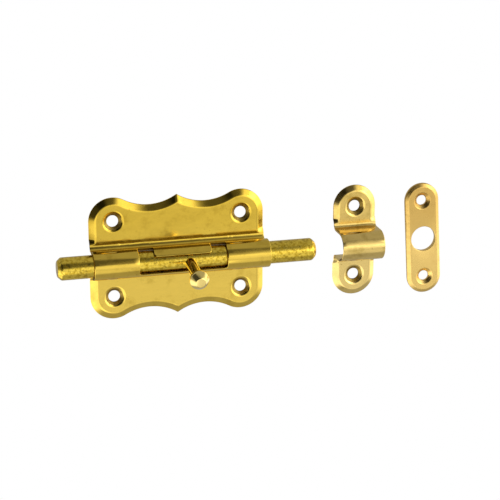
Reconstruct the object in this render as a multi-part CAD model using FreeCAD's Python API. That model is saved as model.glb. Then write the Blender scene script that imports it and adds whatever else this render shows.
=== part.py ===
import FreeCAD, Part
import math
import os

# A small barrel bolt for a cupboard or a door, with its two receiving plates.
#
# Frame, in millimetres: +X is the way the bolt is shot, +Z is up, and -Y is the front, which
# faces the user. The mounting surface is the plane y = 0. The origin is the centre of the
# backplate's four screws on that plane. "Height" below means the distance in front of y = 0.

# ---- driving dimensions ----

SHEET = 0.65                    # thickness of the pressed brass sheet

LOBE_X = 18.25                  # centre of each corner lobe, which is also its screw hole
LOBE_Z = 10.95
SCALLOP_X = 8.0                 # centre and radius of the four hollow curves between the lobes
SCALLOP_Z = 29.65
SCALLOP_RADIUS = 14.6
PLATE_FIELD_HEIGHT = 1.35       # front of the flat field
PLATE_BEVEL_WIDTH = 1.8         # the rim slopes down to the edge over this width
PLATE_EDGE_HEIGHT = 0.35        # height of the plate's square edge

SCREW_HOLE_RADIUS = 1.65        # for a 3 mm countersunk wood screw
SCREW_DIMPLE_RADIUS = 2.9
SCREW_HOLE_WALL = 0.45          # straight wall left under the dimple's cone
DIMPLE_LIP = 0.3                # rounding where the dimple starts

ROD_RADIUS = 3.2
ROD_LENGTH = 73.5
ROD_LEFT_END = -34.9
ROD_CHAMFER_LENGTH = 1.1
ROD_CHAMFER_DEPTH = 1.0
ROD_AXIS_HEIGHT = 5.9

BARREL_PLAY = 0.2               # radial play of the rod in the barrel
BARREL_FOOT_Z = 4.55            # where the barrel's foot meets the flat field
WINDOW_HALF_LENGTH = 12.5
WINDOW_LOWER_ANGLE = -42.0      # angles about the rod's axis, from straight forward, up positive
WINDOW_UPPER_ANGLE = 36.0       # lower edge of the tongue between the two locking notches
NOTCH_ANGLE = 95.0              # top of the locking notches
TONGUE_HALF_LENGTH = 8.1
WINDOW_CORNER = 0.9
NOTCH_CORNER = 0.6
TONGUE_CORNER = 0.9

KNOB_X = 1.95
KNOB_TILT = -8.0                # the knob hangs a little below straight forward
KNOB_SHANK_RADIUS = 1.65
KNOB_SHANK_END = 11.0           # distances along the knob are from the rod's axis
KNOB_RIM_RADIUS = 2.75
KNOB_RIM_START = 13.2
KNOB_RIM_END = 13.9
KNOB_FACE_RADIUS = 1.4
KNOB_REACH = 15.7
KNOB_SEAT_GAP = 0.05            # the seat's play on the rod

KEEPER_X = 52.2
KEEPER_WIDTH = 12.6
KEEPER_LENGTH = 32.9
KEEPER_FIELD_HEIGHT = 1.25
KEEPER_BEVEL_WIDTH = 1.6
KEEPER_SCREW_Z = 10.25
ARCH_INNER_RADIUS = 3.6
ARCH_HEIGHT = 10.3              # outside of the arch's crown
ARCH_FOOT_Z = 5.25

STRIKE_X = 73.35
STRIKE_Z = -1.1
STRIKE_LEAN = 3.4               # degrees; the loose plate lies a little out of square
STRIKE_WIDTH = 10.2
STRIKE_LENGTH = 33.3
STRIKE_THICKNESS = 1.3
STRIKE_BEVEL_WIDTH = 1.0
STRIKE_BEVEL_DEPTH = 0.5
STRIKE_SCREW_Z = 11.55
STRIKE_HOLE_RADIUS = 1.48
STRIKE_COUNTERSINK_RADIUS = 2.5
STRIKE_HOLE_WALL = 0.5
STRIKE_BOLT_RADIUS = 3.7

# ---- helpers ----

BEHIND = 1.0                    # how far cutting shapes start behind the mounting plane
AHEAD = 1.0                     # how far they end past a front surface


def at(x, z, height):
    """A point from its place on the mounting plane and its height in front of it."""
    return FreeCAD.Vector(x, -height, z)


FORWARD = at(0, 0, 1)
ALONG = FreeCAD.Vector(1, 0, 0)


def line(start, end):
    return Part.LineSegment(start, end).toShape()


def arc(start, middle, end):
    return Part.Arc(start, middle, end).toShape()


def arc_about(centre_x, centre_z, radius, from_angle, to_angle, height):
    """An arc in a plane of constant height; angles in degrees from +X towards +Z."""
    points = []
    for share in (0.0, 0.5, 1.0):
        angle = math.radians(from_angle + (to_angle - from_angle) * share)
        points.append(at(centre_x + radius * math.cos(angle), centre_z + radius * math.sin(angle), height))
    return arc(*points)


def section_arc(x, centre_z, centre_height, radius, from_angle, to_angle):
    """An arc in a plane of constant x; angles in degrees from straight forward towards +Z."""
    points = []
    for share in (0.0, 0.5, 1.0):
        angle = math.radians(from_angle + (to_angle - from_angle) * share)
        points.append(at(x, centre_z + radius * math.sin(angle), centre_height + radius * math.cos(angle)))
    return arc(*points)


def cylinder_forward(x, z, radius, low, high):
    return Part.makeCylinder(radius, high - low, at(x, z, low), FORWARD)


def cone_forward(x, z, low_radius, high_radius, low, high):
    return Part.makeCone(low_radius, high_radius, high - low, at(x, z, low), FORWARD)


def turned(profile, centre, direction):
    """A solid of revolution from (radius, distance) pairs, which start and end on the axis."""
    points = [FreeCAD.Vector(radius, 0, distance) for radius, distance in profile]
    blank = Part.Face(Part.makePolygon(points + [points[0]]))
    solid = blank.revolve(FreeCAD.Vector(0, 0, 0), FreeCAD.Vector(0, 0, 1), 360)
    turn = FreeCAD.Rotation(FreeCAD.Vector(0, 0, 1), direction)
    solid.Placement = FreeCAD.Placement(centre, turn)
    return solid


# ---- outlines, each drawn at a height and moved in from the edge by an inset ----

def scalloped_outline(inset, height):
    """The backplate: four round lobes joined by hollow curves that meet in a point."""
    reach = math.hypot(LOBE_X - SCALLOP_X, SCALLOP_Z - LOBE_Z)
    lobe = reach - SCALLOP_RADIUS - inset
    scallop = SCALLOP_RADIUS + inset
    side = LOBE_X + lobe
    tangent = math.degrees(math.atan2(SCALLOP_Z - LOBE_Z, SCALLOP_X - LOBE_X))
    point_z = SCALLOP_Z - math.sqrt(scallop ** 2 - SCALLOP_X ** 2)
    point = math.degrees(math.atan2(point_z - SCALLOP_Z, -SCALLOP_X))
    from_lobe = tangent - 180
    return Part.Wire([
        line(at(side, -LOBE_Z, height), at(side, LOBE_Z, height)),
        arc_about(LOBE_X, LOBE_Z, lobe, 0, tangent, height),
        arc_about(SCALLOP_X, SCALLOP_Z, scallop, from_lobe, point, height),
        arc_about(-SCALLOP_X, SCALLOP_Z, scallop, 180 - point, 180 - from_lobe, height),
        arc_about(-LOBE_X, LOBE_Z, lobe, 180 - tangent, 180, height),
        line(at(-side, LOBE_Z, height), at(-side, -LOBE_Z, height)),
        arc_about(-LOBE_X, -LOBE_Z, lobe, 180, 180 + tangent, height),
        arc_about(-SCALLOP_X, -SCALLOP_Z, scallop, 180 + from_lobe, 180 + point, height),
        arc_about(SCALLOP_X, -SCALLOP_Z, scallop, -point, -from_lobe, height),
        arc_about(LOBE_X, -LOBE_Z, lobe, -tangent, 0, height),
    ])


def round_ended_outline(centre_x, width, length, inset, height):
    radius = width / 2 - inset
    end_z = length / 2 - width / 2
    return Part.Wire([
        line(at(centre_x + radius, -end_z, height), at(centre_x + radius, end_z, height)),
        arc_about(centre_x, end_z, radius, 0, 180, height),
        line(at(centre_x - radius, end_z, height), at(centre_x - radius, -end_z, height)),
        arc_about(centre_x, -end_z, radius, 180, 360, height),
    ])


def keeper_outline(inset, height):
    return round_ended_outline(KEEPER_X, KEEPER_WIDTH, KEEPER_LENGTH, inset, height)


def strike_outline(inset, height):
    """The strike plate's outline about the origin; strike_plate() puts it in its place."""
    return round_ended_outline(0, STRIKE_WIDTH, STRIKE_LENGTH, inset, height)


# ---- pressed sheet ----

def pressed_plate(outline, field_height, bevel_width):
    """A sheet pressed forward, whose rim slopes back to a square edge on the mounting plane."""
    slope = (field_height - PLATE_EDGE_HEIGHT) / bevel_width
    outside = Part.makeLoft([
        outline(0, 0),
        outline(0, PLATE_EDGE_HEIGHT),
        outline(bevel_width, field_height),
    ], True, True)
    drop = SHEET * math.hypot(1, slope)
    inner_height = field_height - SHEET

    def inset_at(height):
        return (height + drop - PLATE_EDGE_HEIGHT) / slope

    inside = Part.makeLoft([
        outline(inset_at(-PLATE_EDGE_HEIGHT), -PLATE_EDGE_HEIGHT),
        outline(inset_at(inner_height), inner_height),
    ], True, True)
    return outside.cut(inside)


def add_dimple(plate, x, z, field_height):
    """A screw hole whose rim is pressed back to the mounting plane."""
    inner_height = field_height - SHEET
    cone_run = SCREW_DIMPLE_RADIUS - SCREW_HOLE_RADIUS
    cone_slope = cone_run / (field_height - SCREW_HOLE_WALL)
    back_radius = SCREW_HOLE_RADIUS + SHEET
    boss = cone_forward(x, z, back_radius, back_radius + cone_slope * inner_height, 0, inner_height)
    plate = plate.fuse(boss)
    sink_top = field_height + AHEAD
    sink = cone_forward(x, z, SCREW_HOLE_RADIUS, SCREW_HOLE_RADIUS + cone_slope * (sink_top - SCREW_HOLE_WALL),
                        SCREW_HOLE_WALL, sink_top)
    hole = cylinder_forward(x, z, SCREW_HOLE_RADIUS, -BEHIND, sink_top)
    return plate.cut(sink).cut(hole)


def round_dimple_lips(plate, places, field_height):
    """Round the circle where each dimple starts in the field."""
    circles = []
    for edge in plate.Edges:
        if edge.Curve.TypeId != "Part::GeomCircle":
            continue
        centre = edge.Curve.Center
        on_field = abs(centre.y + field_height) < 0.01
        near = any(math.hypot(centre.x - x, centre.z - z) < 0.01 for x, z in places)
        if on_field and near and abs(edge.Curve.Radius - SCREW_DIMPLE_RADIUS) < 0.01:
            circles.append(edge)
    return plate.makeFillet(DIMPLE_LIP, circles)


def slab(x_low, x_high, z_half, high):
    """A block about z = 0 that clears a strip of a plate."""
    corner = at(x_low, -z_half, high)
    return Part.makeBox(x_high - x_low, high + BEHIND, 2 * z_half, corner)


# ---- the backplate, with the barrel formed from its middle ----

BARREL_INNER = ROD_RADIUS + BARREL_PLAY
BARREL_OUTER = BARREL_INNER + SHEET
PLATE_HALF_LENGTH = LOBE_X + math.hypot(LOBE_X - SCALLOP_X, SCALLOP_Z - LOBE_Z) - SCALLOP_RADIUS


def barrel():
    """A tube that opens at the back and turns outward into two feet, all of one thickness."""
    x = -PLATE_HALF_LENGTH
    rise = ROD_AXIS_HEIGHT - PLATE_FIELD_HEIGHT
    foot_radius = (BARREL_FOOT_Z ** 2 + rise ** 2 - BARREL_OUTER ** 2) / (2 * (BARREL_OUTER + rise))
    foot_height = PLATE_FIELD_HEIGHT + foot_radius
    turn = math.degrees(math.atan2(BARREL_FOOT_Z, foot_height - ROD_AXIS_HEIGHT))
    back_radius = foot_radius + SHEET

    def foot(side, radius, from_angle, to_angle):
        return section_arc(x, side * BARREL_FOOT_Z, foot_height, radius, from_angle, to_angle)

    def foot_end(side):
        front = at(x, side * BARREL_FOOT_Z, PLATE_FIELD_HEIGHT)
        back = at(x, side * BARREL_FOOT_Z, PLATE_FIELD_HEIGHT - SHEET)
        return line(front, back)

    section = Part.Wire(Part.__sortEdges__([
        section_arc(x, 0, ROD_AXIS_HEIGHT, BARREL_OUTER, -turn, turn),
        foot(1, foot_radius, turn - 180, -180),
        foot_end(1),
        foot(1, back_radius, -180, turn - 180),
        section_arc(x, 0, ROD_AXIS_HEIGHT, BARREL_INNER, turn, -turn),
        foot(-1, back_radius, 180 - turn, 180),
        foot_end(-1),
        foot(-1, foot_radius, 180, 180 - turn),
    ]))
    return Part.Face(section).extrude(ALONG * 2 * PLATE_HALF_LENGTH)


def ring_sector(x_low, x_high, from_angle, to_angle):
    """A thick curved block about the rod's axis, which cuts a window through the barrel."""
    inner = BARREL_INNER - SHEET
    outer = BARREL_OUTER + SHEET

    def ray(angle):
        turn = math.radians(angle)
        return line(at(x_low, inner * math.sin(turn), ROD_AXIS_HEIGHT + inner * math.cos(turn)),
                    at(x_low, outer * math.sin(turn), ROD_AXIS_HEIGHT + outer * math.cos(turn)))

    section = Part.Wire(Part.__sortEdges__([
        section_arc(x_low, 0, ROD_AXIS_HEIGHT, outer, from_angle, to_angle),
        ray(to_angle),
        section_arc(x_low, 0, ROD_AXIS_HEIGHT, inner, to_angle, from_angle),
        ray(from_angle),
    ]))
    return Part.Face(section).extrude(ALONG * (x_high - x_low))


def corner_edges(shape, corners):
    """The straight edges that run through the wall at the given (x, angle) corners."""
    middle = (BARREL_INNER + BARREL_OUTER) / 2
    found = []
    for edge in shape.Edges:
        centre = edge.CenterOfMass
        for x, angle in corners:
            turn = math.radians(angle)
            target = at(x, middle * math.sin(turn), ROD_AXIS_HEIGHT + middle * math.cos(turn))
            if (centre - target).Length < 0.01:
                found.append(edge)
    return found


def window():
    """The knob's channel, with a locking notch at each end and a tongue between them."""
    ends = (-WINDOW_HALF_LENGTH, WINDOW_HALF_LENGTH)
    tongue = (-TONGUE_HALF_LENGTH, TONGUE_HALF_LENGTH)
    channel = ring_sector(ends[0], ends[1], WINDOW_LOWER_ANGLE, WINDOW_UPPER_ANGLE)
    left_notch = ring_sector(ends[0], tongue[0], WINDOW_LOWER_ANGLE, NOTCH_ANGLE)
    right_notch = ring_sector(tongue[1], ends[1], WINDOW_LOWER_ANGLE, NOTCH_ANGLE)
    cutter = channel.fuse([left_notch, right_notch]).removeSplitter()
    cutter = cutter.makeFillet(WINDOW_CORNER, corner_edges(cutter, [(x, WINDOW_LOWER_ANGLE) for x in ends]))
    notch_corners = [(x, NOTCH_ANGLE) for x in (*ends, *tongue)]
    cutter = cutter.makeFillet(NOTCH_CORNER, corner_edges(cutter, notch_corners))
    tongue_corners = [(x, WINDOW_UPPER_ANGLE) for x in tongue]
    return cutter.makeFillet(TONGUE_CORNER, corner_edges(cutter, tongue_corners))


def backplate():
    places = [(x, z) for x in (-LOBE_X, LOBE_X) for z in (-LOBE_Z, LOBE_Z)]
    plate = pressed_plate(scalloped_outline, PLATE_FIELD_HEIGHT, PLATE_BEVEL_WIDTH)
    for x, z in places:
        plate = add_dimple(plate, x, z, PLATE_FIELD_HEIGHT)
    plate = round_dimple_lips(plate, places, PLATE_FIELD_HEIGHT)
    end = PLATE_HALF_LENGTH + AHEAD
    plate = plate.cut(slab(-end, end, BARREL_FOOT_Z, PLATE_FIELD_HEIGHT + AHEAD))
    plate = plate.fuse(barrel())
    return plate.cut(window())


# ---- the moving bolt ----

def bolt_rod():
    inner = ROD_RADIUS - ROD_CHAMFER_DEPTH
    profile = [
        (0, 0),
        (inner, 0),
        (ROD_RADIUS, ROD_CHAMFER_LENGTH),
        (ROD_RADIUS, ROD_LENGTH - ROD_CHAMFER_LENGTH),
        (inner, ROD_LENGTH),
        (0, ROD_LENGTH),
    ]
    return turned(profile, at(ROD_LEFT_END, 0, ROD_AXIS_HEIGHT), ALONG)


def knob():
    """A turned knob: a straight shank that flares to a rim, then a cone with a flat end."""
    profile = [
        (0, 0),
        (KNOB_SHANK_RADIUS, 0),
        (KNOB_SHANK_RADIUS, KNOB_SHANK_END),
        (KNOB_RIM_RADIUS, KNOB_RIM_START),
        (KNOB_RIM_RADIUS, KNOB_RIM_END),
        (KNOB_FACE_RADIUS, KNOB_REACH),
        (0, KNOB_REACH),
    ]
    tilt = math.radians(KNOB_TILT)
    direction = at(0, math.sin(tilt), math.cos(tilt))
    shape = turned(profile, at(KNOB_X, 0, ROD_AXIS_HEIGHT), direction)
    seat_radius = ROD_RADIUS + KNOB_SEAT_GAP
    seat_start = at(KNOB_X - KNOB_REACH, 0, ROD_AXIS_HEIGHT)
    seat = Part.makeCylinder(seat_radius, 2 * KNOB_REACH, seat_start, ALONG)
    return shape.cut(seat)


# ---- the two receiving plates ----

def keeper_arch():
    """The bridge that the bolt's end goes under: two walls, a round crown and two feet."""
    x = KEEPER_X - KEEPER_WIDTH / 2
    outer = ARCH_INNER_RADIUS + SHEET
    crown = ARCH_HEIGHT - outer
    foot_radius = ARCH_FOOT_Z - outer
    foot_height = KEEPER_FIELD_HEIGHT + foot_radius
    back_height = KEEPER_FIELD_HEIGHT - SHEET
    edges = [
        section_arc(x, 0, crown, outer, -90, 90),
        section_arc(x, 0, crown, ARCH_INNER_RADIUS, -90, 90),
    ]
    for side in (-1, 1):
        foot_z = side * ARCH_FOOT_Z
        edges += [
            line(at(x, side * outer, crown), at(x, side * outer, foot_height)),
            line(at(x, side * ARCH_INNER_RADIUS, crown), at(x, side * ARCH_INNER_RADIUS, foot_height)),
            section_arc(x, foot_z, foot_height, foot_radius, -side * 90, -side * 180),
            section_arc(x, foot_z, foot_height, foot_radius + SHEET, -side * 90, -side * 180),
            line(at(x, foot_z, KEEPER_FIELD_HEIGHT), at(x, foot_z, back_height)),
        ]
    section = Part.Wire(Part.__sortEdges__(edges))
    return Part.Face(section).extrude(ALONG * KEEPER_WIDTH)


def keeper():
    places = [(KEEPER_X, -KEEPER_SCREW_Z), (KEEPER_X, KEEPER_SCREW_Z)]
    plate = pressed_plate(keeper_outline, KEEPER_FIELD_HEIGHT, KEEPER_BEVEL_WIDTH)
    for x, z in places:
        plate = add_dimple(plate, x, z, KEEPER_FIELD_HEIGHT)
    plate = round_dimple_lips(plate, places, KEEPER_FIELD_HEIGHT)
    reach = KEEPER_WIDTH / 2 + AHEAD
    gap = slab(KEEPER_X - reach, KEEPER_X + reach, ARCH_FOOT_Z, KEEPER_FIELD_HEIGHT + AHEAD)
    return plate.cut(gap).fuse(keeper_arch())


def strike_plate():
    """A flat plate with a large hole for the bolt's end and two countersunk screw holes."""
    plate = Part.makeLoft([
        strike_outline(0, 0),
        strike_outline(0, STRIKE_THICKNESS - STRIKE_BEVEL_DEPTH),
        strike_outline(STRIKE_BEVEL_WIDTH, STRIKE_THICKNESS),
    ], True, True)
    top = STRIKE_THICKNESS + AHEAD
    plate = plate.cut(cylinder_forward(0, 0, STRIKE_BOLT_RADIUS, -BEHIND, top))
    for z in (-STRIKE_SCREW_Z, STRIKE_SCREW_Z):
        plate = plate.cut(cylinder_forward(0, z, STRIKE_HOLE_RADIUS, -BEHIND, top))
        plate = plate.cut(cone_forward(0, z, STRIKE_HOLE_RADIUS, STRIKE_COUNTERSINK_RADIUS,
                                       STRIKE_HOLE_WALL, STRIKE_THICKNESS))
    lean = FreeCAD.Rotation(FORWARD, STRIKE_LEAN)
    plate.Placement = FreeCAD.Placement(at(STRIKE_X, STRIKE_Z, 0), lean)
    return plate


# ---- export ----

def single_solid(name, shape):
    """Each sub-part is one valid closed solid."""
    solids = shape.removeSplitter().Solids
    if len(solids) != 1 or not solids[0].isValid():
        raise ValueError("%s: %d solids, valid %s" % (name, len(solids), [s.isValid() for s in solids]))
    return solids[0]


def main():
    nodes = {
        "backplate": backplate(),
        "bolt_rod": bolt_rod(),
        "knob": knob(),
        "keeper": keeper(),
        "strike_plate": strike_plate(),
    }
    os.makedirs("parts", exist_ok=True)
    for name, shape in nodes.items():
        solid = single_solid(name, shape)
        solid.exportStep("parts/%s.step" % name)
        box = solid.optimalBoundingBox(False)
        print("%-13s volume %7.1f  x %6.2f %6.2f  y %6.2f %6.2f  z %6.2f %6.2f" % (
            name, solid.Volume, box.XMin, box.XMax, box.YMin, box.YMax, box.ZMin, box.ZMax))


main()
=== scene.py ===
import math

import bmesh
import bpy
from mathutils import Matrix, Vector


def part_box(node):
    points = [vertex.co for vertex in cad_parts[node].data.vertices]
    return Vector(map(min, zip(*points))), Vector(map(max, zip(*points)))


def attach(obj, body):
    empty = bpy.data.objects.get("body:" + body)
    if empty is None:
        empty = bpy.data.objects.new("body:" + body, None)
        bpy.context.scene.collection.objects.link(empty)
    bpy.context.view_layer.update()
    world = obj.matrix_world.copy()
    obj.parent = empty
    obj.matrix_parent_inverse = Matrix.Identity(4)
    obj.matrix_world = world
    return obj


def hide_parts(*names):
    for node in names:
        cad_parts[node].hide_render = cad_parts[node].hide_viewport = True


# A small brass barrel bolt with its keeper and its strike plate, in the CAD model's frame:
# +X is the way the bolt is shot, +Z is up, -Y is the front and y = 0 is the mounting surface.
# Pieces are made in millimetres and scaled to metres when they are finished. The pressed
# pieces start as flat blanks in the XZ plane, where z is the length along the sheet's outside
# and y is how far the press pushes the sheet back, and are then rolled to their section.

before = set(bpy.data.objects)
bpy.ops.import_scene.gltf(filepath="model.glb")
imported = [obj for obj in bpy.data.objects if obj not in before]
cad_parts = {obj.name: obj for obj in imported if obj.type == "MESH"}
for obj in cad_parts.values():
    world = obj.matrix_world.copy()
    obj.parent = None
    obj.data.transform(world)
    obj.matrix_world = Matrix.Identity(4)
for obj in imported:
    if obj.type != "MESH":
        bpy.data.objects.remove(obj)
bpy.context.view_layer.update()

MM = 0.001
SHEET = 0.65                    # thickness of the pressed sheet

# ---- sizes read from the CAD nodes ----


def node_box(node):
    """A node's lowest and highest corners in millimetres."""
    low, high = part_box(node)
    return Vector(low) / MM, Vector(high) / MM


PLATE_LOW, PLATE_HIGH = node_box("backplate")
ROD_LOW, ROD_HIGH = node_box("bolt_rod")
KNOB_LOW, KNOB_HIGH = node_box("knob")
KEEPER_LOW, KEEPER_HIGH = node_box("keeper")
STRIKE_LOW, STRIKE_HIGH = node_box("strike_plate")

ROD_RADIUS = (ROD_HIGH.z - ROD_LOW.z) / 2
ROD_AXIS_HEIGHT = -(ROD_HIGH.y + ROD_LOW.y) / 2
BARREL_CROWN = -PLATE_LOW.y
BARREL_RADIUS = BARREL_CROWN - ROD_AXIS_HEIGHT

# ---- the backplate's own shape ----

LOBE_X = 18.25                  # centre of each corner lobe, which is also its screw hole
LOBE_Z = 10.95
LOBE_RADIUS = PLATE_HIGH.x - LOBE_X
SCALLOP_X = 8.0                 # centre of the hollow curve beside each lobe
SCALLOP_Z = 29.65
SCALLOP_RADIUS = math.hypot(LOBE_X - SCALLOP_X, SCALLOP_Z - LOBE_Z) - LOBE_RADIUS
FIELD_HEIGHT = 1.35
FOOT_Z = 4.55                   # where the barrel's foot meets the flat field
RIM_WIDTH = 1.8                 # the rim slopes back over this width
RIM_DROP = 1.0
RIM_FADE = 1.6                  # the side rims run out over this length beside the barrel
RIM_ZONE = 2.3                  # everything nearer a side than this belongs to its rim
PRESSED_SOFTNESS = 0.32         # half the width of the rounding at a pressed corner
EDGE_ROLL = 0.13                # a punched edge is rounded over about this width
EDGE_ROLL_DEPTH = 0.55          # depth of that rounding, as a share of its width
SLOPE_START = 1.6 * EDGE_ROLL   # a slope runs straight from here in
FLAT_RUN = (100.0, 0.0)         # the flat end of a section, longer than any blank needs

HOLE_RADIUS = 1.65
DIMPLE_RADIUS = 2.9
DIMPLE_WIDTH = DIMPLE_RADIUS - HOLE_RADIUS
DIMPLE_DROP = 0.9
HOLE_BACK = 0.15                # a hole's back edge lies within this height of the mounting plane
HOLE_FLARE = SHEET * 0.8        # and within this distance outside the hole, before it is straightened
DARK_RING_WIDTH = 0.75              # a darker ring lies round a hole over this width
INSIDE_DEPTH = 0.15             # the unbuffed inside starts this far under the rolled surface

WINDOW_HALF_LENGTH = 12.5
WINDOW_LOWER_ANGLE = -42.0      # angles round the rod from straight forward
TONGUE_EDGE_ANGLE = 36.0
NOTCH_ANGLE = 95.0
TONGUE_HALF_LENGTH = 8.1
WINDOW_CORNER = 0.9
NOTCH_CORNER = 0.6
TONGUE_CORNER = 0.9
WINDOW_BAND = 2 * EDGE_ROLL     # the band of faces round the window is this wide

# ---- the keeper and the strike plate ----

KEEPER_X = (KEEPER_LOW.x + KEEPER_HIGH.x) / 2
KEEPER_HALF_WIDTH = (KEEPER_HIGH.x - KEEPER_LOW.x) / 2
KEEPER_END_Z = KEEPER_HIGH.z - KEEPER_HALF_WIDTH
KEEPER_FIELD_HEIGHT = 1.25
KEEPER_SCREW_Z = 10.25
KEEPER_RIM_WIDTH = 1.6
KEEPER_RIM_DROP = 0.9
KEEPER_DIMPLE_DROP = DIMPLE_DROP - FIELD_HEIGHT + KEEPER_FIELD_HEIGHT
ARCH_RADIUS = 4.25
ARCH_FOOT_Z = 5.25
ARCH_CROWN = -KEEPER_LOW.y

STRIKE_X = (STRIKE_LOW.x + STRIKE_HIGH.x) / 2
STRIKE_Z = (STRIKE_LOW.z + STRIKE_HIGH.z) / 2
STRIKE_LEAN = 3.4               # degrees
STRIKE_HALF_WIDTH = 5.1
STRIKE_END_Z = 11.55
STRIKE_THICKNESS = -STRIKE_LOW.y
STRIKE_RIM_WIDTH = 1.0
STRIKE_RIM_DROP = 0.5
STRIKE_BOLT_RADIUS = 3.7
STRIKE_SCREW_RADIUS = 1.48
STRIKE_SINK_RADIUS = 2.5
STRIKE_SINK_DROP = 0.8
STRIKE_SOFTNESS = 0.14

# ---- small bmesh helpers ----

FORWARD = Vector((0, -1, 0))
WELD_DISTANCE = 1e-4


def stroke_line(bm, tip, place):
    """Carry an open wire straight on to a place."""
    end = bm.verts.new(place)
    bm.edges.new((tip, end))
    return end


def stroke_arc(bm, tip, centre, degrees, steps):
    """Carry an open wire round a centre, from +X towards +Z, as a pair of compasses does."""
    made = bmesh.ops.spin(bm, geom=[tip], cent=centre, axis=FORWARD, angle=math.radians(degrees), steps=steps)
    return next(part for part in made["geom_last"] if isinstance(part, bmesh.types.BMVert))


def wire_between(bm, known):
    """The edges added to a bmesh since it held the known ones."""
    return [edge for edge in bm.edges if edge not in known]


def weld(bm, points):
    """Merge the points that lie on each other."""
    bmesh.ops.remove_doubles(bm, verts=points, dist=WELD_DISTANCE)


def join_rings(bm, rings):
    """Bands of faces between neighbouring closed wires."""
    for inner, outer in zip(rings, rings[1:]):
        bmesh.ops.bridge_loops(bm, edges=inner + outer)


def round_hole(bm, x, z, stations, segments):
    """Bands round a hole in the blank, from (radius, push back) stations; gives the outer wire."""
    known = set(bm.edges)
    radius, back = stations[0]
    place = Matrix.Translation((x, back, z)) @ Matrix.Rotation(math.radians(90), 4, "X")
    bmesh.ops.create_circle(bm, cap_ends=False, radius=radius, segments=segments, matrix=place)
    ring = wire_between(bm, known)
    for wider, back in stations[1:]:
        made = bmesh.ops.extrude_edge_only(bm, edges=ring)["geom"]
        points = [part for part in made if isinstance(part, bmesh.types.BMVert)]
        ring = [part for part in made if isinstance(part, bmesh.types.BMEdge)]
        bmesh.ops.scale(bm, vec=(wider / radius, 1, wider / radius), verts=points,
                        space=Matrix.Translation((-x, 0, -z)))
        for point in points:
            point.co.y = back
        radius = wider
    return ring


def slope(distance, width, drop, softness):
    """How far a pressed slope lies behind the field, at a distance in from its low edge."""
    rate = drop / width
    past = distance - width
    if past >= softness:
        return 0.0
    if past <= -softness:
        return -past * rate
    return rate * (softness - past) ** 2 / (4 * softness)


def edge_roll(distance):
    """The extra fall of a punched edge, which is rounded by the punch."""
    return EDGE_ROLL_DEPTH * max(0.0, EDGE_ROLL - distance) ** 2 / EDGE_ROLL


def roll_stations():
    """Distances in from a punched edge at which its rounding needs a wire."""
    return [0.0, EDGE_ROLL / 3, EDGE_ROLL * 2 / 3, EDGE_ROLL]


CORNER_SHARES = (-0.25, 0, 0.5, 1, 1.5, 2, 2.25)


def slope_stations(width, softness):
    """Distances in from a low edge at which a slope's cross-section needs a wire."""
    start = width - softness
    corner = [start + softness * share for share in CORNER_SHARES]
    return roll_stations() + [SLOPE_START] + corner


def pressed_slope(width, drop, softness):
    """(distance in from the low edge, push back) of each wire of a pressed slope."""
    stations = slope_stations(width, softness)
    return [(inset, slope(inset, width, drop, softness) + edge_roll(inset)) for inset in stations]


# ---- outlines of the blanks ----

LOBE_STEPS = 30
SCALLOP_STEPS = 22
ROUND_STEPS = 40
WINDOW_CORNER_STEPS = 7
SCREW_HOLE_STEPS = 48
BOLT_HOLE_STEPS = 80


def scalloped_ring(bm, inset, back, stretch):
    """The backplate's outline moved in by an inset; stretch is the sheet taken up by the barrel."""
    known = set(bm.edges)
    lobe = LOBE_RADIUS - inset
    scallop = SCALLOP_RADIUS + inset
    side = LOBE_X + lobe
    lobe_turn = math.degrees(math.atan2(SCALLOP_Z - LOBE_Z, SCALLOP_X - LOBE_X))
    point_turn = math.degrees(math.asin(SCALLOP_X / scallop))
    scallop_turn = lobe_turn - 90 + point_turn
    lobe_s = LOBE_Z + stretch
    scallop_s = SCALLOP_Z + stretch
    start = bm.verts.new((side, back, -lobe_s))
    tip = start
    for half in (1, -1):
        tip = stroke_line(bm, tip, (half * side, back, half * lobe_s))
        tip = stroke_arc(bm, tip, (half * LOBE_X, back, half * lobe_s), lobe_turn, LOBE_STEPS)
        tip = stroke_arc(bm, tip, (half * SCALLOP_X, back, half * scallop_s), -scallop_turn, SCALLOP_STEPS)
        tip = stroke_arc(bm, tip, (-half * SCALLOP_X, back, half * scallop_s), -scallop_turn, SCALLOP_STEPS)
        tip = stroke_arc(bm, tip, (-half * LOBE_X, back, half * lobe_s), lobe_turn, LOBE_STEPS)
    weld(bm, [start, tip])
    return wire_between(bm, known)


def round_ended_ring(bm, centre_x, half_width, end_z, inset, back):
    """A strip's outline with half-round ends, moved in by an inset."""
    known = set(bm.edges)
    radius = half_width - inset
    start = bm.verts.new((centre_x + radius, back, -end_z))
    tip = start
    for half in (1, -1):
        tip = stroke_line(bm, tip, (centre_x + half * radius, back, half * end_z))
        tip = stroke_arc(bm, tip, (centre_x, back, half * end_z), 180, ROUND_STEPS)
    weld(bm, [start, tip])
    return wire_between(bm, known)


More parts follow.
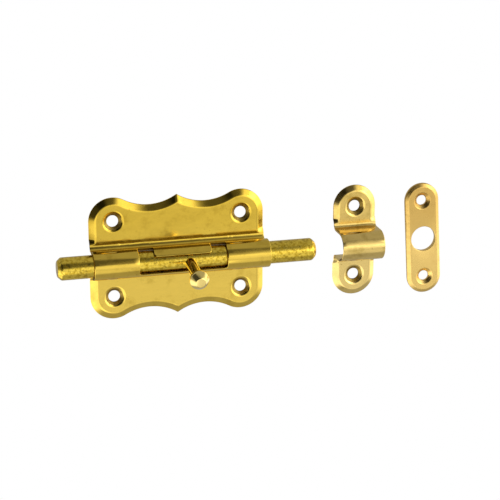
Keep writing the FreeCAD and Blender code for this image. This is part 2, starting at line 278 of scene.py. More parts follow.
def window_ring(bm, grow, back):
    """The knob's channel on the blank, grown outward by a distance."""
    known = set(bm.edges)
    low, tongue, notch = (
        BARREL_RADIUS * math.radians(angle) for angle in (WINDOW_LOWER_ANGLE, TONGUE_EDGE_ANGLE, NOTCH_ANGLE))
    out = WINDOW_HALF_LENGTH + grow
    inner = TONGUE_HALF_LENGTH - grow
    corners = [
        (out, low - grow, WINDOW_CORNER + grow),
        (out, notch + grow, NOTCH_CORNER + grow),
        (inner, notch + grow, NOTCH_CORNER + grow),
        (inner, tongue + grow, TONGUE_CORNER - grow),
        (-inner, tongue + grow, TONGUE_CORNER - grow),
        (-inner, notch + grow, NOTCH_CORNER + grow),
        (-out, notch + grow, NOTCH_CORNER + grow),
        (-out, low - grow, WINDOW_CORNER + grow),
    ]
    points = [bm.verts.new((x, back, s)) for x, s, _ in corners]
    bm.faces.new(points)
    for point, (_, _, radius) in zip(points, corners):
        bmesh.ops.bevel(bm, geom=[point], offset=radius, offset_type="OFFSET", segments=WINDOW_CORNER_STEPS,
                        profile=0.5, affect="VERTICES", material=-1)
    made = wire_between(bm, known)
    bmesh.ops.delete(bm, geom=[f for f in bm.faces if set(f.edges) == set(made)], context="FACES_ONLY")
    return made


# ---- pressing and rolling ----


def rim_rings(bm, ring_at, width, drop, softness=PRESSED_SOFTNESS):
    """The sloping rim of a pressed sheet, from its edge to the flat field; gives the inner wire."""
    rings = [ring_at(inset, back) for inset, back in pressed_slope(width, drop, softness)]
    join_rings(bm, rings)
    return rings[-1]


def screw_hole(bm, x, z, hole, width, drop, softness=PRESSED_SOFTNESS):
    """A screw hole whose edge lies back in a cone; gives the outer wire."""
    stations = [(hole + inset, back) for inset, back in pressed_slope(width, drop, softness)]
    return round_hole(bm, x, z, stations, SCREW_HOLE_STEPS)


def along_section(section, distance):
    """Place on a rolled section: (z, fall below the crown, heading in radians)."""
    z, fall, heading = 0.0, 0.0, 0.0
    left = distance
    for length, turn in section:
        step = min(left, length)
        bend = turn * step / length
        if turn:
            radius = length / turn
            z += radius * (math.sin(heading + bend) - math.sin(heading))
            fall += radius * (math.cos(heading) - math.cos(heading + bend))
        else:
            z += step * math.cos(heading)
            fall += step * math.sin(heading)
        heading += bend
        left -= step
        if left <= 0:
            break
    return z, fall, heading


def smooth_step(low, high, value):
    """A value's share of the way from low to high, with smooth ends."""
    share = min(max((value - low) / (high - low), 0.0), 1.0)
    return share * share * (3 - 2 * share)


FLAT_HEADING = 1e-6             # radians; the sheet lies flat where it heads down less than this


def roll(bm, section, crown, foot, centre_x, half_width):
    """Bend a pressed blank to its section. The side rims run out beside the part that is rolled."""
    for vert in bm.verts:
        side = math.copysign(1, vert.co.z)
        z, fall, heading = along_section(section, abs(vert.co.z))
        push = vert.co.y
        from_side = half_width - abs(vert.co.x - centre_x)
        if z < foot + RIM_FADE and from_side < RIM_ZONE:
            rolled_edge = edge_roll(from_side)
            share = smooth_step(foot, foot + RIM_FADE, z) if heading < FLAT_HEADING else 0.0
            push = rolled_edge + (push - rolled_edge) * share
        z -= push * math.sin(heading)
        height = crown - fall - push * math.cos(heading)
        vert.co = (vert.co.x, -height, side * z)


def score(bm, distances):
    """Cut the blank along lines of constant length, on both sides of its middle."""
    for distance in distances:
        for side in (1, -1):
            bmesh.ops.bisect_plane(bm, geom=bm.verts[:] + bm.edges[:] + bm.faces[:],
                                   dist=WELD_DISTANCE, plane_co=(0, 0, side * distance),
                                   plane_no=(0, 0, 1))


def face_front(bm):
    """Every face of a flat blank looks forward."""
    bm.normal_update()
    bmesh.ops.reverse_faces(bm, faces=[face for face in bm.faces if face.normal.y > 0])


CLEAR_HEIGHT = 0.02             # a line stands clear of the field above this height over it
STRAIGHT_ANGLE = 0.2            # degrees; faces that meet within this are one face


def tidy_rolled(bm, field_height):
    """Clear the loose lines between the score lines, where the sheet stands clear of its field."""
    clear = field_height + CLEAR_HEIGHT
    raised = [edge for edge in bm.edges if max(-vert.co.y for vert in edge.verts) > clear]
    verts = list(dict.fromkeys(vert for edge in raised for vert in edge.verts))
    bmesh.ops.dissolve_limit(bm, angle_limit=math.radians(STRAIGHT_ANGLE), verts=verts, edges=raised,
                             use_dissolve_boundaries=False)


def flatten_back(bm):
    """What the press pushes past the mounting plane lies flat on it."""
    for vert in bm.verts:
        vert.co.y = min(vert.co.y, 0.0)


def mark_inside(bm, axis_height, radius, holes):
    """Give the second material, dark with painted shade, to a rolled sheet's inside and to a darker ring
    round each hole.
    """
    for face in bm.faces:
        middle = face.calc_center_median()
        inside = math.hypot(middle.z, -middle.y - axis_height) < radius - INSIDE_DEPTH
        dark_ring = any(math.hypot(middle.x - x, middle.z - z) < HOLE_RADIUS + DARK_RING_WIDTH for x, z in holes)
        if inside or dark_ring:
            face.material_index = 1


SHARP_ANGLE = 38                # degrees; edges that turn more than this are shaded sharp


def finish_piece(bm, name):
    """A smooth-shaded object in metres, from a bmesh in millimetres."""
    bmesh.ops.scale(bm, vec=(MM, MM, MM), verts=bm.verts)
    mesh = bpy.data.meshes.new(name)
    bm.to_mesh(mesh)
    bm.free()
    mesh.shade_smooth()
    mesh.set_sharp_from_angle(angle=math.radians(SHARP_ANGLE))
    piece = bpy.data.objects.new(name, mesh)
    bpy.context.scene.collection.objects.link(piece)
    return piece


# ---- the backplate ----


def barrel_section():
    """(length, turn) of each stretch of the sheet's outside, from the barrel's crown outward."""
    rise = ROD_AXIS_HEIGHT - FIELD_HEIGHT
    foot_radius = (FOOT_Z ** 2 + rise ** 2 - BARREL_RADIUS ** 2) / (2 * (BARREL_RADIUS + rise))
    turn = math.atan2(FOOT_Z, FIELD_HEIGHT + foot_radius - ROD_AXIS_HEIGHT)
    return [(BARREL_RADIUS * turn, turn), (foot_radius * turn, -turn), FLAT_RUN]


def steps_over(start, length, count):
    """Places at equal steps over a length, with both its ends."""
    return [start + length * step / count for step in range(count + 1)]


BARREL_STEPS = 32
FOOT_STEPS = 12
FADE_STEPS = 8
FIRST_FADE_LINE = 0.1           # one more score line, close to where the field starts


def score_rim_fade(bm, field_start):
    """Score the field where the side rims run out beside the rolled part."""
    score(bm, steps_over(field_start, RIM_FADE, FADE_STEPS)[1:] + [field_start + FIRST_FADE_LINE])


def make_backplate():
    """The plate and its open barrel, pressed and rolled from one blank."""
    section = barrel_section()
    barrel_length, foot_length = section[0][0], section[1][0]
    field_start = barrel_length + foot_length
    stretch = field_start - FOOT_Z
    bm = bmesh.new()

    def outline(inset, back):
        return scalloped_ring(bm, inset, back, stretch)

    field = rim_rings(bm, outline, RIM_WIDTH, RIM_DROP)
    for x in (-LOBE_X, LOBE_X):
        for s in (-LOBE_Z - stretch, LOBE_Z + stretch):
            field += screw_hole(bm, x, s, HOLE_RADIUS, DIMPLE_WIDTH, DIMPLE_DROP)
    window = [window_ring(bm, d, edge_roll(d)) for d in roll_stations() + [WINDOW_BAND]]
    join_rings(bm, window)
    field += window[-1]
    bmesh.ops.triangle_fill(bm, edges=field, use_beauty=True, normal=FORWARD)
    face_front(bm)
    score(bm, steps_over(0, barrel_length, BARREL_STEPS))
    score(bm, steps_over(barrel_length, foot_length, FOOT_STEPS)[1:])
    score_rim_fade(bm, field_start)
    roll(bm, section, BARREL_CROWN, FOOT_Z, 0.0, PLATE_HIGH.x)
    tidy_rolled(bm, FIELD_HEIGHT)
    bmesh.ops.solidify(bm, geom=bm.faces[:], thickness=SHEET)
    holes = [(x, z) for x in (-LOBE_X, LOBE_X) for z in (-LOBE_Z, LOBE_Z)]
    for x, z in holes:
        straighten_hole(bm, x, z)
    flatten_back(bm)
    mark_inside(bm, ROD_AXIS_HEIGHT, BARREL_RADIUS, holes)
    return finish_piece(bm, "pressed_backplate")


def straighten_hole(bm, x, z):
    """The back of a punched hole is as wide as its front."""
    for vert in bm.verts:
        across = Vector((vert.co.x - x, 0, vert.co.z - z))
        near_back = vert.co.y > -HOLE_BACK
        if near_back and HOLE_RADIUS < across.length < HOLE_RADIUS + HOLE_FLARE:
            across *= HOLE_RADIUS / across.length
            vert.co.x, vert.co.z = x + across.x, z + across.z


# ---- the bolt ----


def spin_profile(bm, steps):
    """A full turn about the X axis of the profile that the bmesh holds."""
    bmesh.ops.spin(bm, geom=bm.verts[:] + bm.edges[:], cent=(0, 0, 0), axis=(1, 0, 0), angle=math.tau,
                   steps=steps, use_merge=True)
    weld(bm, bm.verts)
    bmesh.ops.recalc_face_normals(bm, faces=bm.faces)


def profile_wire(bm, points):
    """An open wire through (distance, radius) pairs, along +X with its radius along +Z."""
    tip = bm.verts.new((points[0][0], 0, points[0][1]))
    for distance, radius in points[1:]:
        tip = stroke_line(bm, tip, (distance, 0, radius))


def soften_edges(bm, angle, offset, segments):
    """Round the edges where a turned piece's surface breaks by more than an angle."""
    bm.normal_update()
    sharp = [e for e in bm.edges if len(e.link_faces) == 2 and e.calc_face_angle() > math.radians(angle)]
    bmesh.ops.bevel(bm, geom=sharp, offset=offset, offset_type="OFFSET", segments=segments, profile=0.5,
                    affect="EDGES", clamp_overlap=True, material=-1)


def make_rod():
    """The sliding bolt, bevelled at both ends."""
    start, end = ROD_LOW.x, ROD_HIGH.x
    chamfer_length, chamfer_depth = 1.1, 1.0
    tip_radius = ROD_RADIUS - chamfer_depth
    body = steps_over(start + chamfer_length, end - start - 2 * chamfer_length, count=24)
    points = [(start, 0), (start, tip_radius / 2), (start, tip_radius)]
    points += [(x, ROD_RADIUS) for x in body]
    points += [(end, tip_radius), (end, tip_radius / 2), (end, 0)]
    bm = bmesh.new()
    profile_wire(bm, points)
    spin_profile(bm, steps=96)
    soften_edges(bm, angle=25, offset=0.28, segments=4)
    bmesh.ops.translate(bm, vec=(0, -ROD_AXIS_HEIGHT, 0), verts=bm.verts)
    return finish_piece(bm, "sliding_rod")


def make_knob():
    """The turned knob: a straight shank that flares to a rim, then a cone with a small flat end."""
    shank, shank_end = 1.65, 11.0
    rim, rim_start, rim_end = 2.75, 13.2, 13.9
    face, reach = 1.4, 15.7
    seat_gap, seat_band, foot_band = 0.05, 0.1, 0.4
    seat = ROD_RADIUS + seat_gap
    knob_x = (KNOB_LOW.x + KNOB_HIGH.x) / 2
    tilt = math.radians(-8.0)
    seat_low = math.sqrt(seat ** 2 - shank ** 2)
    points = [(0, 0), (seat_low, shank), (seat_low + foot_band, shank), (shank_end, shank), (rim_start, rim),
              (rim_end, rim), (reach, face), (reach, 0)]
    bm = bmesh.new()
    profile_wire(bm, points)
    spin_profile(bm, steps=64)
    soften_edges(bm, angle=12, offset=0.2, segments=4)
    for vert in bm.verts:
        if vert.co.x < seat_low + seat_band:
            vert.co.x = math.sqrt(seat ** 2 - vert.co.z ** 2)
    outward = Vector((0, -math.cos(tilt), math.sin(tilt)))
    across = Vector((1, 0, 0))
    turn = Matrix((outward, across, outward.cross(across))).transposed().to_4x4()
    place = Matrix.Translation((knob_x, -ROD_AXIS_HEIGHT, 0)) @ turn
    bmesh.ops.transform(bm, matrix=place, verts=bm.verts)
    bmesh.ops.recalc_face_normals(bm, faces=bm.faces)
    return finish_piece(bm, "turned_knob")


# ---- the keeper ----


def arch_section():
    """(length, turn) of each stretch of the keeper's outside, from its crown outward."""
    quarter = math.radians(90)
    foot_radius = ARCH_FOOT_Z - ARCH_RADIUS
    wall = ARCH_CROWN - ARCH_RADIUS - KEEPER_FIELD_HEIGHT - foot_radius
    return [(ARCH_RADIUS * quarter, quarter), (wall, 0.0), (foot_radius * quarter, -quarter), FLAT_RUN]


def make_keeper():
    """The arched keeper, pressed and bent from one strip."""
    section = arch_section()
    crown, wall, foot = (stretch[0] for stretch in section[:3])
    field_start = crown + wall + foot
    stretch = field_start - ARCH_FOOT_Z
    bm = bmesh.new()

    def outline(inset, back):
        return round_ended_ring(bm, KEEPER_X, KEEPER_HALF_WIDTH, KEEPER_END_Z + stretch, inset, back)

    field = rim_rings(bm, outline, KEEPER_RIM_WIDTH, KEEPER_RIM_DROP)
    for s in (-KEEPER_SCREW_Z - stretch, KEEPER_SCREW_Z + stretch):
        field += screw_hole(bm, KEEPER_X, s, HOLE_RADIUS, DIMPLE_WIDTH, KEEPER_DIMPLE_DROP)
    bmesh.ops.triangle_fill(bm, edges=field, use_beauty=True, normal=FORWARD)
    face_front(bm)
    score(bm, steps_over(0, crown, count=24))
    score(bm, steps_over(crown, wall, count=4)[1:])
    score(bm, steps_over(crown + wall, foot, count=10)[1:])
    score_rim_fade(bm, field_start)
    roll(bm, section, ARCH_CROWN, ARCH_FOOT_Z, KEEPER_X, KEEPER_HALF_WIDTH)
    tidy_rolled(bm, KEEPER_FIELD_HEIGHT)
    bmesh.ops.solidify(bm, geom=bm.faces[:], thickness=SHEET)
    holes = [(KEEPER_X, z) for z in (-KEEPER_SCREW_Z, KEEPER_SCREW_Z)]
    for x, z in holes:
        straighten_hole(bm, x, z)
    flatten_back(bm)
    mark_inside(bm, ARCH_CROWN - ARCH_RADIUS, ARCH_RADIUS, holes)
    return finish_piece(bm, "arched_keeper")


# ---- the strike plate ----


def make_strike():
    """A flat punched plate: two countersunk holes and a large one for the bolt's end."""
    bm = bmesh.new()

    def outline(inset, back):
        return round_ended_ring(bm, 0, STRIKE_HALF_WIDTH, STRIKE_END_Z, inset, back)

    field = rim_rings(bm, outline, STRIKE_RIM_WIDTH, STRIKE_RIM_DROP, STRIKE_SOFTNESS)
    sink_width = STRIKE_SINK_RADIUS - STRIKE_SCREW_RADIUS
    for z in (-STRIKE_END_Z, STRIKE_END_Z):
        field += screw_hole(bm, 0, z, STRIKE_SCREW_RADIUS, sink_width, STRIKE_SINK_DROP, STRIKE_SOFTNESS)
    bolt_hole = [(STRIKE_BOLT_RADIUS + d, edge_roll(d)) for d in roll_stations()]
    field += round_hole(bm, 0, 0, bolt_hole, BOLT_HOLE_STEPS)
    bmesh.ops.triangle_fill(bm, edges=field, use_beauty=True, normal=FORWARD)
    face_front(bm)
    bmesh.ops.translate(bm, vec=(0, -STRIKE_THICKNESS, 0), verts=bm.verts)
    back = bmesh.ops.extrude_face_region(bm, geom=bm.faces[:], use_keep_orig=True)["geom"]
    for part in back:
        if isinstance(part, bmesh.types.BMVert):
            part.co.y = 0
    bmesh.ops.recalc_face_normals(bm, faces=bm.faces)
    lean = Matrix.Rotation(math.radians(STRIKE_LEAN), 4, FORWARD)
    bmesh.ops.transform(bm, matrix=Matrix.Translation((STRIKE_X, 0, STRIKE_Z)) @ lean, verts=bm.verts)
    return finish_piece(bm, "strike_plate_sheet")


# ---- shared surface effects, as node groups that read millimetres ----


def add_node(nodes, kind, inputs=None, **settings):
    """A node with its settings and its unlinked input values."""
    node = nodes.new(kind)
    for name, value in settings.items():
        setattr(node, name, value)
    for name, value in (inputs or {}).items():
        node.inputs[name].default_value = value
    return node


def effect_group(name, inputs, outputs):
    """An empty node group that reads a place and some numbers, and gives out masks or heights."""
    tree = bpy.data.node_groups.new(name, "ShaderNodeTree")
    tree.interface.new_socket("Place", in_out="INPUT", socket_type="NodeSocketVector")
    for socket in inputs:
        tree.interface.new_socket(socket, in_out="INPUT", socket_type="NodeSocketFloat")
    for socket in outputs:
        tree.interface.new_socket(socket, in_out="OUTPUT", socket_type="NodeSocketFloat")
    source = tree.nodes.new("NodeGroupInput")
    result = tree.nodes.new("NodeGroupOutput")
    return tree, source, result


def remap(nodes, links, value, low, high, to_low=0.0, to_high=1.0):
    """A value carried from one range to another, with smooth ends."""
    node = add_node(nodes, "ShaderNodeMapRange", interpolation_type="SMOOTHSTEP", inputs={
        "From Min": low, "From Max": high, "To Min": to_low, "To Max": to_high})
    links.new(value, node.inputs["Value"])
    return node.outputs["Result"]


def combine(nodes, links, operation, first, second):
    """A sum or product of two values, either of which may be a plain number."""
    node = nodes.new("ShaderNodeMath")
    node.operation = operation
    for socket, value in zip(node.inputs, (first, second)):
        if isinstance(value, (int, float)):
            socket.default_value = value
        else:
            links.new(value, socket)
    return node.outputs[0]


def noise_value(nodes, links, place, scale, detail, roughness):
    """Noise from 0 to 1; the scale is in features per millimetre, as a number or a socket."""
    node = add_node(nodes, "ShaderNodeTexNoise", inputs={"Detail": detail, "Roughness": roughness})
    links.new(place, node.inputs["Vector"])
    if isinstance(scale, (int, float)):
        node.inputs["Scale"].default_value = scale
    else:
        links.new(scale, node.inputs["Scale"])
    return node.outputs[0]


def stretched(nodes, links, place, scale):
    """The place with its axes stretched, for marks that run one way."""
    node = add_node(nodes, "ShaderNodeMapping", inputs={"Scale": scale})
    links.new(place, node.inputs["Vector"])
    return node.outputs["Vector"]


def make_wave_group():
    """The slow unevenness that pressing and buffing leave in sheet."""
    tree, source, result = effect_group("buffed_waves", ["Scale"], ["Height", "Haze"])
    place, scale = source.outputs["Place"], source.outputs["Scale"]
    nodes, links = tree.nodes, tree.links
    broad = noise_value(nodes, links, place, scale, detail=1.5, roughness=0.4)
    lengthwise = stretched(nodes, links, place, (0.35, 1.0, 1.6))
    along = noise_value(nodes, links, lengthwise, scale, detail=2.0, roughness=0.5)
    links.new(combine(nodes, links, "ADD", broad, along), result.inputs["Height"])
    streaked = stretched(nodes, links, place, (0.5, 1.0, 1.2))
    haze = noise_value(nodes, links, streaked, 0.45, detail=4.0, roughness=0.6)
    links.new(remap(nodes, links, haze, 0.35, 0.7), result.inputs["Haze"])
    return tree


def make_scratch_group():
    """Fine hairlines in three directions, with a height and a mask."""
    tree, source, result = effect_group("hairline_scratches", ["Density"], ["Height", "Mask"])
    nodes, links = tree.nodes, tree.links
    total = 0.0
    for turn, length in ((8, 0.16), (-24, 0.22), (63, 0.3)):
        turned = add_node(nodes, "ShaderNodeMapping", inputs={"Rotation": (0, math.radians(turn), 0)})
        links.new(source.outputs["Place"], turned.inputs["Vector"])
        lines = stretched(nodes, links, turned.outputs["Vector"], (length, 1.0, 7.0))
        noise = noise_value(nodes, links, lines, 1.3, detail=2.0, roughness=0.6)
        marks = remap(nodes, links, noise, 0.62, 0.74)
        total = combine(nodes, links, "ADD", total, marks)
    mask = combine(nodes, links, "MULTIPLY", total, source.outputs["Density"])
    links.new(mask, result.inputs["Mask"])
    links.new(combine(nodes, links, "MULTIPLY", mask, -1.0), result.inputs["Height"])
    return tree


def make_tarnish_group():
    """Brown patches and small dark specks where the lacquer has failed."""
    tree, source, result = effect_group("tarnish", ["Patch scale", "Amount"], ["Patches", "Specks"])
    nodes, links = tree.nodes, tree.links
    place = source.outputs["Place"]
    patches = noise_value(nodes, links, place, source.outputs["Patch scale"], detail=5.0, roughness=0.62)
    shown = remap(nodes, links, patches, 0.5, 0.72)
    links.new(combine(nodes, links, "MULTIPLY", shown, source.outputs["Amount"]), result.inputs["Patches"])
    specks = noise_value(nodes, links, place, 2.1, detail=2.0, roughness=0.5)
    spots = remap(nodes, links, specks, 0.68, 0.76)
    links.new(combine(nodes, links, "MULTIPLY", spots, source.outputs["Amount"]), result.inputs["Specks"])
    return tree


WAVES = make_wave_group()
SCRATCHES = make_scratch_group()
TARNISH = make_tarnish_group()

# ---- materials ----


def new_material(name):
    """A material with its nodes and links."""
    material = bpy.data.materials.new(name)
    material.use_nodes = True
    return material, material.node_tree.nodes, material.node_tree.links


def millimetres(nodes, links):
    """The object's own coordinates, in millimetres."""
    coordinate = nodes.new("ShaderNodeTexCoord")
    scale = add_node(nodes, "ShaderNodeMapping", inputs={"Scale": (1 / MM, 1 / MM, 1 / MM)})
    links.new(coordinate.outputs["Object"], scale.inputs["Vector"])
    return scale.outputs["Vector"]


def new_brass(name):
    """A bare metal material, with its shader and the place on its piece."""
    material, nodes, links = new_material(name)
    shader = nodes["Principled BSDF"]
    shader.inputs["Metallic"].default_value = 1
    return material, nodes, links, shader, millimetres(nodes, links)


def place_group(nodes, links, tree, place, **values):
    """A shared effect put in a material with its own values; gives its outputs."""
    node = nodes.new("ShaderNodeGroup")
    node.node_tree = tree
    links.new(place, node.inputs["Place"])
    for name, value in values.items():
        node.inputs[name.replace("_", " ")].default_value = value
    return node.outputs


def darker(colour, share):
    """A colour at a share of its brightness."""
    return tuple(channel * share for channel in colour)


def mix_colour(nodes, links, share, first, second, blend="MIX"):
    """Two colours mixed by a mask; either may be a plain colour. Sockets 6 and 7 are the colours."""
    node = add_node(nodes, "ShaderNodeMix", data_type="RGBA", blend_type=blend)
    links.new(share, node.inputs[0])
    for socket, value in ((node.inputs[6], first), (node.inputs[7], second)):
        if isinstance(value, tuple):
            socket.default_value = (*value, 1)
        else:
            links.new(value, socket)
    return node.outputs[2]


def bump(nodes, links, height, depth_mm, below=None):
    """A bump from a height of 0 to 1, which stands for a depth in millimetres."""
    node = add_node(nodes, "ShaderNodeBump", inputs={"Strength": 1.0, "Distance": depth_mm * MM})
    links.new(height, node.inputs["Height"])
    if below is not None:
        links.new(below, node.inputs["Normal"])
    return node.outputs["Normal"]


SHADE_FROM_Z = -9.0              # painted shade darkens the sheet towards its top between these heights
SHADE_TO_Z = 12.0


def sheet_brass(name, colour, deep, painted_shade_tone, wave_depth, low_gloss, high_gloss, tarnish):
    """Buffed sheet: uneven gloss, slow waves, hairlines, tarnish and painted shade that darkens it towards
    its top.
    """
    material, nodes, links, shader, place = new_brass(name)
    waves = place_group(nodes, links, WAVES, place, Scale=0.14)
    lines = place_group(nodes, links, SCRATCHES, place, Density=0.6)
    stains = place_group(nodes, links, TARNISH, place, Patch_scale=0.22, Amount=tarnish)
    tone = mix_colour(nodes, links, waves["Haze"], colour, darker(colour, 0.93))
    tone = mix_colour(nodes, links, stains["Patches"], tone, deep)
    tone = mix_colour(nodes, links, stains["Specks"], tone, darker(deep, 0.45))
    # painted shade: the colour is multiplied darker from the lower height to the upper one
    height = nodes.new("ShaderNodeSeparateXYZ")
    links.new(place, height.inputs[0])
    painted_shade_mask = remap(nodes, links, height.outputs["Z"], SHADE_FROM_Z, SHADE_TO_Z)
    tone = mix_colour(nodes, links, painted_shade_mask, tone, painted_shade_tone, blend="MULTIPLY")
    links.new(tone, shader.inputs["Base Color"])
    gloss = remap(nodes, links, waves["Haze"], 0.0, 1.0, low_gloss, high_gloss)
    gloss = combine(nodes, links, "ADD", gloss, combine(nodes, links, "MULTIPLY", lines["Mask"], 0.05))
    links.new(combine(nodes, links, "ADD", gloss, combine(nodes, links, "MULTIPLY", stains["Specks"], 0.2)),
              shader.inputs["Roughness"])
    normal = bump(nodes, links, waves["Height"], wave_depth)
    links.new(bump(nodes, links, lines["Height"], 0.0015, normal), shader.inputs["Normal"])
    return material


def inside_brass(name, colour, deep):
    """The sheet's inside and its cut edges: unbuffed, dull and grimy, and dark with painted shade."""
    material, nodes, links, shader, place = new_brass(name)
    grime = place_group(nodes, links, TARNISH, place, Patch_scale=0.6, Amount=0.9)
    links.new(mix_colour(nodes, links, grime["Patches"], colour, deep), shader.inputs["Base Color"])
    links.new(remap(nodes, links, grime["Patches"], 0.0, 1.0, 0.42, 0.6), shader.inputs["Roughness"])
    skin = noise_value(nodes, links, place, 2.4, detail=3.0, roughness=0.6)
    links.new(bump(nodes, links, skin, 0.02), shader.inputs["Normal"])
    return material


def rod_brass(name, colour, deep):
    """Drawn rod, dull and mottled: pitted skin, brown tarnish and faint lines along its length."""
    material, nodes, links, shader, place = new_brass(name)
    stains = place_group(nodes, links, TARNISH, place, Patch_scale=0.9, Amount=0.9)
    blotches = noise_value(nodes, links, place, 1.1, detail=5.0, roughness=0.62)
    mottle = remap(nodes, links, blotches, 0.34, 0.6)
    tone = mix_colour(nodes, links, mottle, deep, colour)
    tone = mix_colour(nodes, links, stains["Patches"], tone, darker(deep, 0.5))
    links.new(tone, shader.inputs["Base Color"])
    links.new(remap(nodes, links, mottle, 0.0, 1.0, 0.27, 0.13), shader.inputs["Roughness"])
    pits = noise_value(nodes, links, place, 2.6, detail=3.0, roughness=0.65)
    lengthwise = stretched(nodes, links, place, (0.12, 1.0, 1.0))
    drawn = noise_value(nodes, links, lengthwise, 3.2, detail=2.0, roughness=0.5)
    normal = bump(nodes, links, drawn, 0.012)
    links.new(bump(nodes, links, pits, 0.012, normal), shader.inputs["Normal"])
    return material


def turned_brass(name, colour, deep):
    """Bright turned brass with faint tool rings about the knob's axis and a few stains."""
    material, nodes, links, shader, place = new_brass(name)
    stains = place_group(nodes, links, TARNISH, place, Patch_scale=0.8, Amount=0.35)
    tone = mix_colour(nodes, links, stains["Patches"], colour, deep)
    links.new(tone, shader.inputs["Base Color"])
    ringed = stretched(nodes, links, place, (0.05, 1.0, 0.05))
    rings = noise_value(nodes, links, ringed, 5.0, detail=2.0, roughness=0.5)
    links.new(remap(nodes, links, rings, 0.3, 0.7, 0.1, 0.17), shader.inputs["Roughness"])
    links.new(bump(nodes, links, rings, 0.004), shader.inputs["Normal"])
    return material


# ---- stage, light and camera ----

FLOOR_Z = -300 * MM
FLOOR_HALF_WIDTH = 3.0          # metres


def make_stage():
    """A plain white floor well below the object."""
    bm = bmesh.new()
    bmesh.ops.create_grid(bm, x_segments=1, y_segments=1, size=FLOOR_HALF_WIDTH)
    bmesh.ops.translate(bm, vec=(0, 0, FLOOR_Z), verts=bm.verts)
    mesh = bpy.data.meshes.new("studio_floor")
    bm.to_mesh(mesh)
    bm.free()
    floor = bpy.data.objects.new("studio_floor", mesh)
    bpy.context.scene.collection.objects.link(floor)
    material, nodes, links = new_material("white_floor")
    glow = add_node(nodes, "ShaderNodeEmission", inputs={"Color": (1, 1, 1, 1), "Strength": 1.0})
    links.new(glow.outputs["Emission"], nodes["Material Output"].inputs["Surface"])
    mesh.materials.append(material)
    floor.visible_glossy = False
    floor.visible_diffuse = False


def direction(azimuth, elevation):
    """A unit vector; azimuth 0 is straight in front of the object and 90 is towards +X."""
    turn, rise = math.radians(azimuth), math.radians(elevation)
    return Vector((math.sin(turn) * math.cos(rise), -math.cos(turn) * math.cos(rise), math.sin(rise)))


TENT_BASE = 0.42                # brightness of the tent between its patches
# name, azimuth, elevation, where it starts to fade and where it ends (degrees), brightness
TENT_PATCHES = [
    ("right_wall", 46, 18, 20, 36, 1.2),
    ("right_low_wall", 62, -12, 18, 34, 0.5),
    ("front_band", 14, 0, 3, 20, 0.66),
    ("front_table", 14, -32, 6, 24, 0.42),
    ("right_side", 105, 0, 20, 45, 1.0),
    ("left_floor", -88, -38, 15, 40, 1.1),
    ("left_table", -26, -26, 19, 34, 1.0),
]
# the same for the dark gaps in the tent, with the share of the light that each takes away
TENT_GAPS = [
    ("camera_gap", -8, 40, 18, 34, 0.74),
    ("left_gap", -48, 26, 28, 40, 0.88),
]


def soft_patch(nodes, links, look, name, azimuth, elevation, inner, outer):
    """A round patch of the tent with a soft edge, as a mask over the directions."""
    facing = add_node(nodes, "ShaderNodeVectorMath", operation="DOT_PRODUCT", label=name)
    links.new(look, facing.inputs[0])
    facing.inputs[1].default_value = direction(azimuth, elevation)
    edge, full = math.cos(math.radians(outer)), math.cos(math.radians(inner))
    return remap(nodes, links, facing.outputs["Value"], edge, full)


def make_light():
    """A white tent with brighter patches and dark gaps, which the camera sees as plain white."""
    world = bpy.data.worlds.new("studio")
    bpy.context.scene.world = world
    world.use_nodes = True
    nodes, links = world.node_tree.nodes, world.node_tree.links
    look = nodes.new("ShaderNodeTexCoord").outputs["Generated"]
    total = TENT_BASE
    for *place, brightness in TENT_PATCHES:
        patch = soft_patch(nodes, links, look, *place)
        total = combine(nodes, links, "ADD", combine(nodes, links, "MULTIPLY", patch, brightness), total)
    for *place, depth in TENT_GAPS:
        gap = combine(nodes, links, "MULTIPLY", soft_patch(nodes, links, look, *place), depth)
        total = combine(nodes, links, "MULTIPLY", total, combine(nodes, links, "SUBTRACT", 1.0, gap))
    tent = nodes["Background"]
    links.new(total, tent.inputs["Strength"])
    tent.inputs["Color"].default_value = (1, 1, 1, 1)
    backdrop = add_node(nodes, "ShaderNodeBackground", inputs={"Color": (1, 1, 1, 1), "Strength": 1.0})
    seen = nodes.new("ShaderNodeLightPath").outputs["Is Camera Ray"]
    mixed = nodes.new("ShaderNodeMixShader")
    links.new(seen, mixed.inputs[0])
    links.new(tent.outputs[0], mixed.inputs[1])
    links.new(backdrop.outputs[0], mixed.inputs[2])
    links.new(mixed.outputs[0], nodes["World Output"].inputs["Surface"])
    bpy.context.scene.view_settings.view_transform = "Standard"


def add_lamp(name, azimuth, elevation, distance, width, height, power):
    """A soft rectangular lamp that faces the object."""
    lamp = bpy.data.lights.new(name, "AREA")
    lamp.shape = "RECTANGLE"
    lamp.size, lamp.size_y = width, height
    lamp.energy = power
    holder = bpy.data.objects.new(name, lamp)
    away = direction(azimuth, elevation)
    holder.location = away * distance
    holder.rotation_euler = away.to_track_quat("Z", "Y").to_euler()
    bpy.context.scene.collection.objects.link(holder)


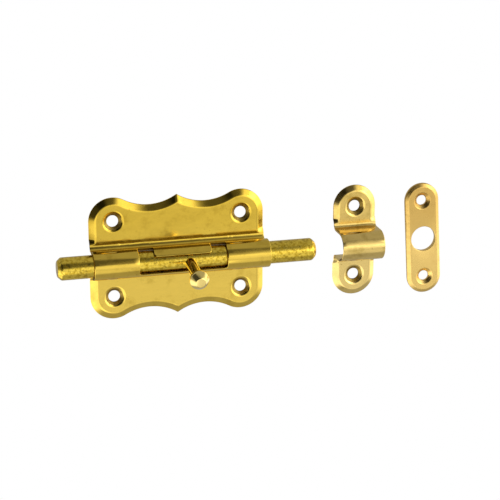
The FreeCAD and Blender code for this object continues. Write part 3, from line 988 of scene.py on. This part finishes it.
def make_camera():
    """The viewing angle; the aim is given across and up from the origin as the camera sees them."""
    distance, across, up = 466.7, 20.6, 0.91
    back = direction(-14.9, 17.4)
    right = Vector((0, 0, 1)).cross(back).normalized()
    camera = bpy.data.objects.new("camera", bpy.data.cameras.new("camera"))
    camera.data.lens = 119.3
    camera.data.sensor_width = 36
    camera.location = (back * distance + right * across + back.cross(right) * up) * MM
    camera.rotation_euler = back.to_track_quat("Z", "Y").to_euler()
    camera.data.clip_start = 0.01
    bpy.context.scene.collection.objects.link(camera)
    bpy.context.scene.camera = camera


# ---- assembly ----

# the third colour of each sheet is painted shade, multiplied into its colour towards its top
SHEET_BRASS = sheet_brass("buffed_sheet_brass", (0.92, 0.645, 0.11), (0.5, 0.32, 0.03), (0.84, 0.81, 0.55),
                          0.03, 0.1, 0.17, 0.45)
KEEPER_BRASS = sheet_brass("pale_sheet_brass", (0.95, 0.7, 0.24), (0.52, 0.36, 0.07), (0.9, 0.86, 0.7),
                           0.06, 0.13, 0.22, 0.6)
STRIKE_BRASS = sheet_brass("satin_strike_brass", (0.94, 0.65, 0.2), (0.6, 0.34, 0.08), (0.82, 0.76, 0.66),
                           0.02, 0.27, 0.36, 0.3)
ROD_BRASS = rod_brass("dull_rod_brass", (0.95, 0.68, 0.09), (0.6, 0.39, 0.025))
KNOB_BRASS = turned_brass("bright_turned_brass", (0.96, 0.74, 0.24), (0.5, 0.3, 0.04))
# the inside's dark colours are painted shade on the rolled insides and cut edges; the same colours darken the
# ring round each hole
INSIDE_BRASS_PAINTED_SHADE = inside_brass("unbuffed_inside_painted_shade_brass", (0.4, 0.27, 0.06), (0.16, 0.1, 0.02))

# how each piece is made, its body, the CAD node it replaces, its material slot and its finishes
PIECES = [
    (make_backplate, "plate", "backplate", "polished_brass_sheet", (SHEET_BRASS, INSIDE_BRASS_PAINTED_SHADE)),
    (make_rod, "bolt", "bolt_rod", "dull_brass_rod", (ROD_BRASS,)),
    (make_knob, "knob", "knob", "polished_brass_turned", (KNOB_BRASS,)),
    (make_keeper, "keeper", "keeper", "polished_brass_sheet", (KEEPER_BRASS, INSIDE_BRASS_PAINTED_SHADE)),
    (make_strike, "strike", "strike_plate", "polished_brass_sheet", (STRIKE_BRASS,)),
]
for make, body, node, slot, finishes in PIECES:
    piece = make()
    for finish in finishes:
        piece.data.materials.append(finish)
    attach(piece, body)
    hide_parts(node)

make_stage()
make_light()
add_lamp("right_softbox", azimuth=50, elevation=20, distance=1.3, width=0.5, height=0.4, power=1.2)
make_camera()
